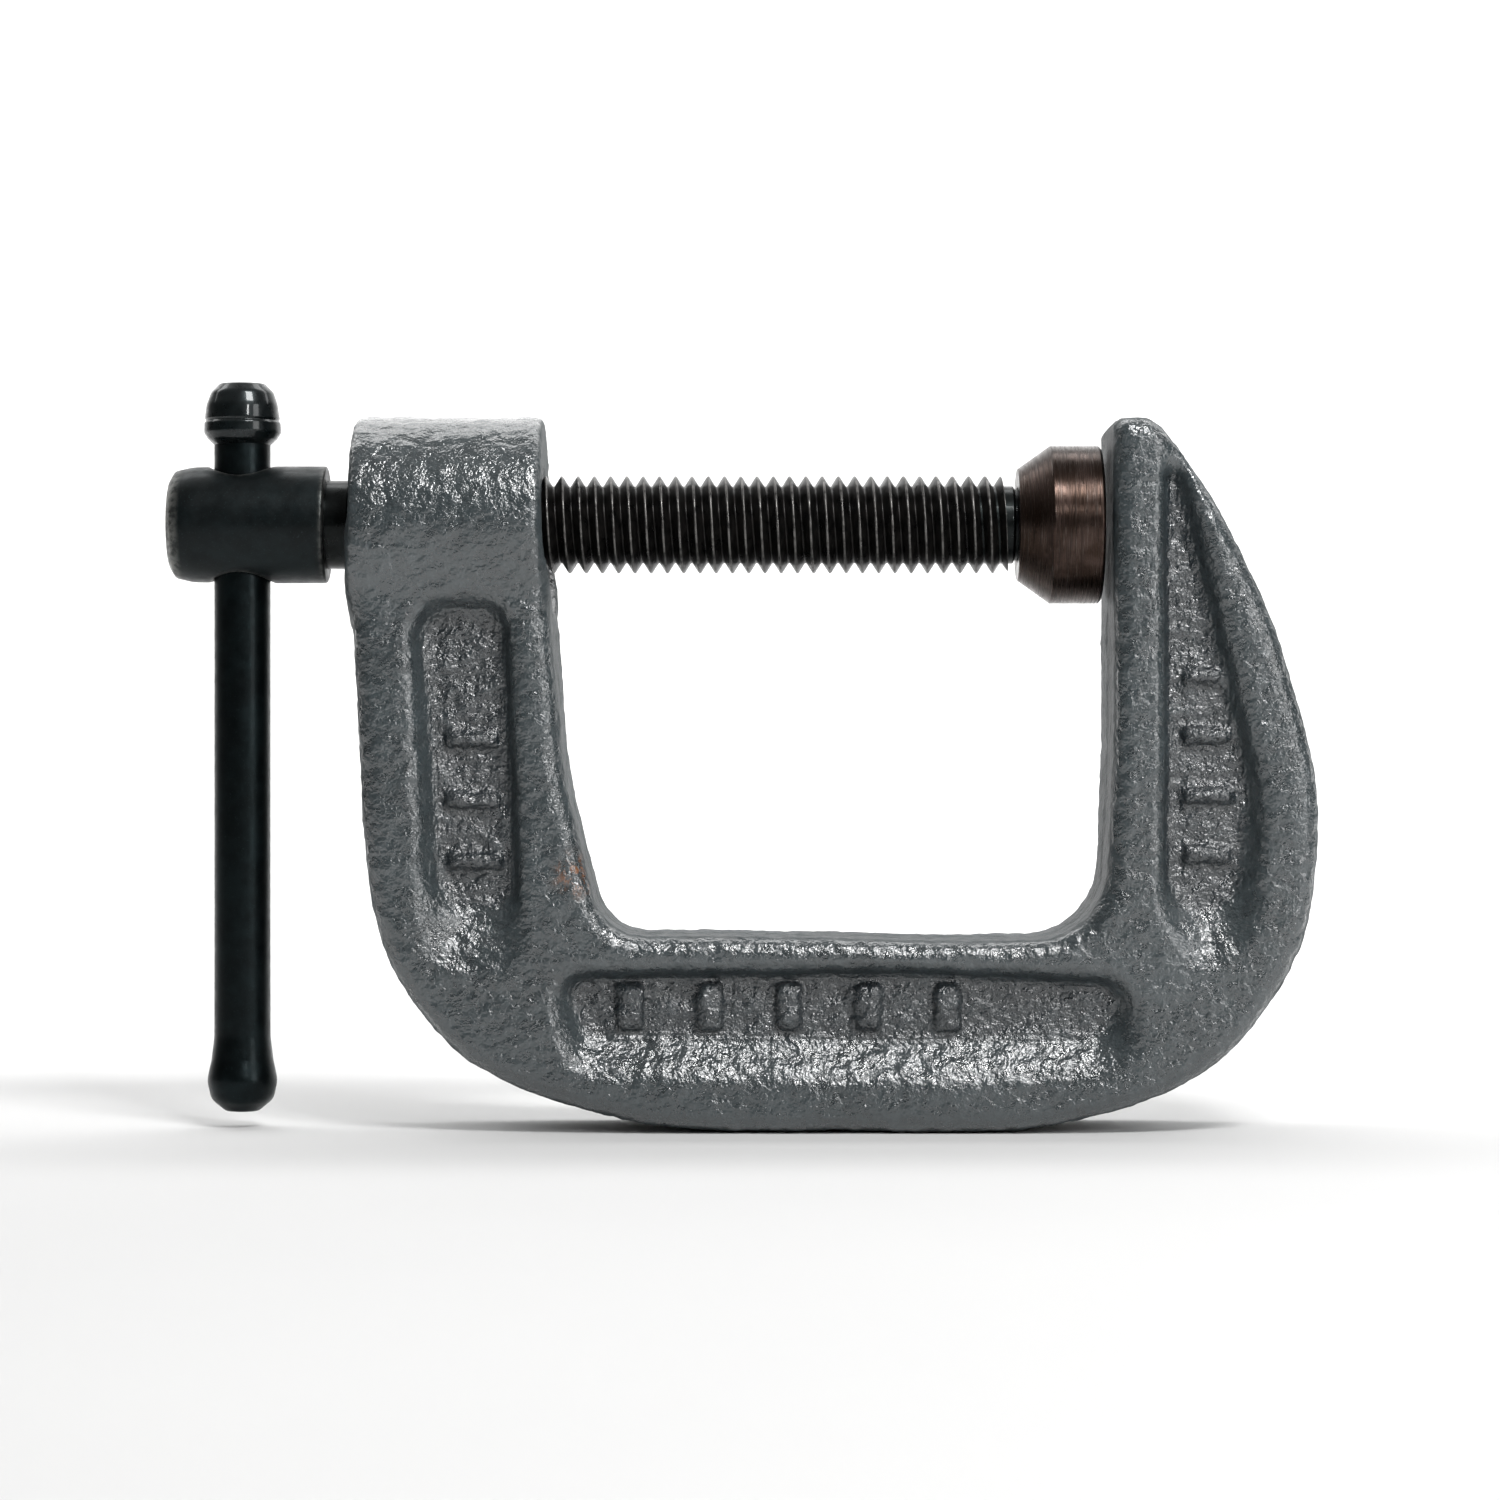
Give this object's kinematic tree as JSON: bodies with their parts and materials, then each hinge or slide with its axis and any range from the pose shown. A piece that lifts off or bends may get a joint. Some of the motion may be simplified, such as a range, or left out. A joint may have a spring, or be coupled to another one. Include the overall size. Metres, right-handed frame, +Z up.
{
  "type": "c clamp",
  "caption": "Small cast C clamp: threaded screw with a sliding tommy bar and a swivel pad that closes on a fixed jaw.",
  "frame": {"origin": "centre of the fixed jaw face, on the screw axis", "axes": "+Z up with the spine below the screw; +X along the screw from its head towards the fixed jaw; Y is the depth"},
  "size_m": [0.07, 0.0132, 0.0457],
  "materials": {
    "frame_enamel": "glossy dark grey hammered enamel over a sand casting",
    "screw_black": "black oxide, bright on the thread crests",
    "bar_black": "satin black oxide",
    "knob_black": "oiled black oxide",
    "pad_steel": "dark turned steel with fine turning marks",
    "ring_steel": "bright spring wire"
  },
  "bodies": {
    "frame": {"frame": "frame_enamel"},
    "pad_carrier": {"pad_snap_ring": "ring_steel"},
    "screw": {"screw": "screw_black"},
    "handle": {"handle_bar": "bar_black", "handle_knob": "knob_black"},
    "pad": {"swivel_pad": "pad_steel"}
  },
  "joints": [
    {"name": "screw_travel", "type": "slide", "parent": "frame", "child": "pad_carrier", "axis": [1, 0, 0], "range_m": [-0.0287, 0.00015]},
    {"name": "screw_turn", "type": "hinge", "parent": "pad_carrier", "child": "screw", "pos_m": [-0.00425, 0, 0], "axis": [1, 0, 0], "range_deg": [-10332, 54]},
    {"name": "handle_slide", "type": "slide", "parent": "screw", "child": "handle", "axis": [0, 0, 1], "range_m": [-0.0012, 0.028]},
    {"name": "pad_tilt", "type": "hinge", "parent": "pad_carrier", "child": "pad", "pos_m": [-0.00425, 0, 0], "axis": [0, 1, 0], "range_deg": [-3, 3]}
  ],
  "couplings": [
    {"joint": "screw_travel", "follows": "screw_turn", "m_per_rad": 0.00015915}
  ]
}
